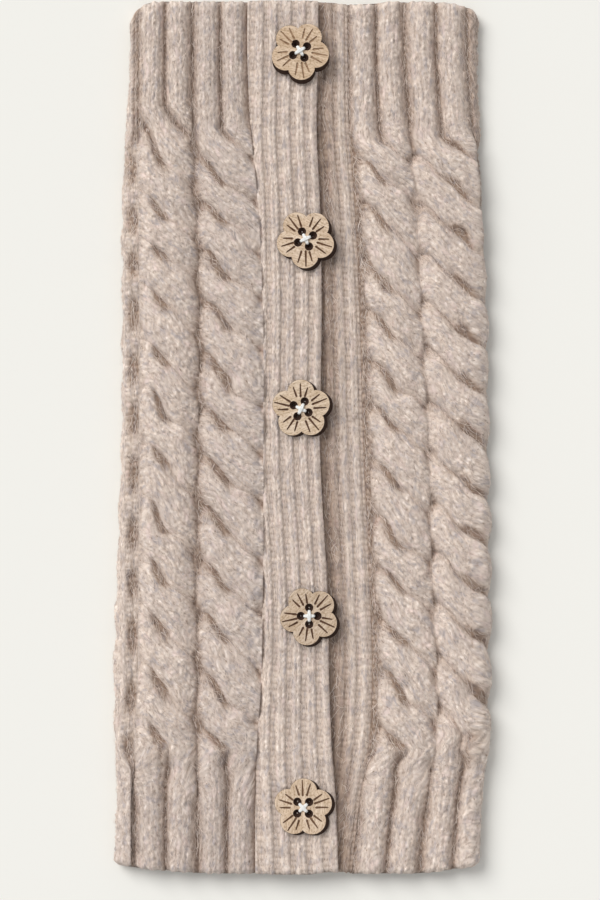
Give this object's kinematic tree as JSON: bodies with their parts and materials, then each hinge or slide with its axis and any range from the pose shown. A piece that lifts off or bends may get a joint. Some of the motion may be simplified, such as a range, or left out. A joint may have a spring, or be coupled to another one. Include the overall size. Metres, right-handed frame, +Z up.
{
  "type": "leg warmer",
  "caption": "Cable-knit wool leg warmer lying flat, with ribbed ends and a front placket closed by flower-shaped wooden buttons.",
  "frame": {"origin": "middle of the rectangle the garment covers, on the surface it lies on", "axes": "+Y along the garment's length towards its upper end, +X across its width towards the side under the placket, +Z up out of the surface"},
  "size_m": [0.1645, 0.38, 0.0147],
  "materials": {
    "wool_knit": "brushed heather oatmeal wool in a cable and rib knit, soft and slightly fuzzy",
    "wool_band": "the same wool in a fine flat rib knit",
    "button_wood": "pale sanded wood with scorched dark edges and engraved petal lines"
  },
  "bodies": {
    "root": {"body": "wool_knit", "under_band": "wool_band", "button_band": "wool_band", "button_1": "button_wood", "button_2": "button_wood", "button_3": "button_wood", "button_4": "button_wood", "button_5": "button_wood"}
  },
  "joints": []
}
